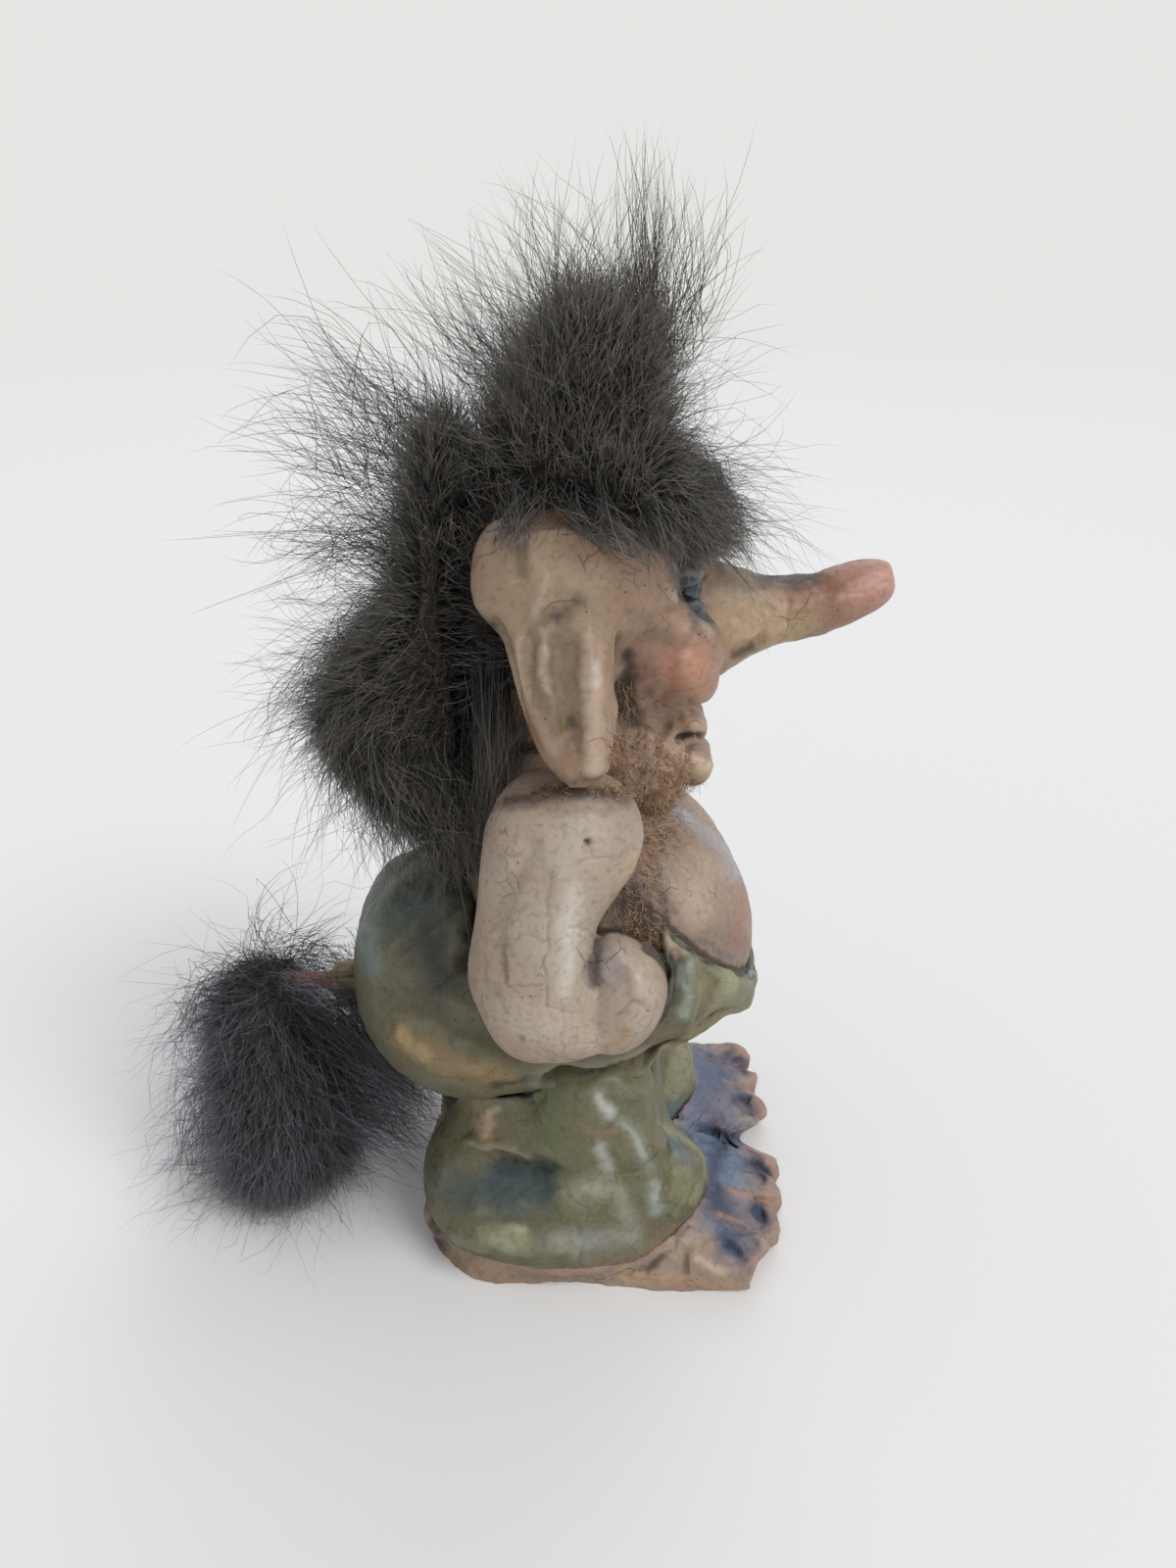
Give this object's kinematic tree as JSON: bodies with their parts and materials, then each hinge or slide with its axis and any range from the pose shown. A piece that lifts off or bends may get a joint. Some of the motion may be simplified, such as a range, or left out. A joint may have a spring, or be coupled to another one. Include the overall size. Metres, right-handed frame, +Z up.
{
  "type": "folk troll figurine",
  "caption": "Standing troll figurine with a long nose, hanging ears, hands at its trouser pockets, a tall fur wig and a tufted tail that swings and lifts.",
  "frame": {"origin": "middle of the sole, on the surface that the figure stands on", "axes": "+X forward along the nose, +Y to the figure's left, +Z up"},
  "size_m": [0.1, 0.0594, 0.139],
  "materials": {
    "painted_skin": "cast rubber compound, hand-painted cream to terracotta and varnished, finely cracked",
    "painted_trousers": "cast rubber compound, hand-painted olive green with blue-green and ochre washes",
    "painted_feet": "cast rubber compound, tan with a blue-grey and purple wash",
    "eye_bead": "opaque dark blue glass bead",
    "wig_cloth": "woven backing of the fur",
    "fur": "long-pile dark brown fur",
    "tail_rubber": "bare pinkish brown rubber",
    "wire": "plain steel wire"
  },
  "bodies": {
    "root": {"feet_base": "painted_feet", "right_trouser_leg": "painted_trousers", "left_trouser_leg": "painted_trousers", "trouser_seat": "painted_trousers", "torso": "painted_skin", "right_arm": "painted_skin", "left_arm": "painted_skin", "head": "painted_skin", "nose": "painted_skin", "right_ear": "painted_skin", "left_ear": "painted_skin", "right_eye": "eye_bead", "left_eye": "eye_bead", "scalp_backing": "wig_cloth", "hair_crown": "fur", "hair_back": "fur", "tail_pin": "wire"},
    "collar": {"tail_collar": "painted_skin"},
    "tail": {"tail_stalk": "tail_rubber", "tail_wire": "wire", "tail_tuft": "fur"}
  },
  "joints": [
    {"name": "tail_swing", "type": "hinge", "parent": "root", "child": "collar", "pos_m": [-0.0358, 0, 0.0366], "axis": [1, 0, 0], "range_deg": [-30, 30]},
    {"name": "tail_lift", "type": "hinge", "parent": "collar", "child": "tail", "pos_m": [-0.04, 0, 0.0366], "axis": [0, 1, 0], "range_deg": [0, 35]}
  ]
}
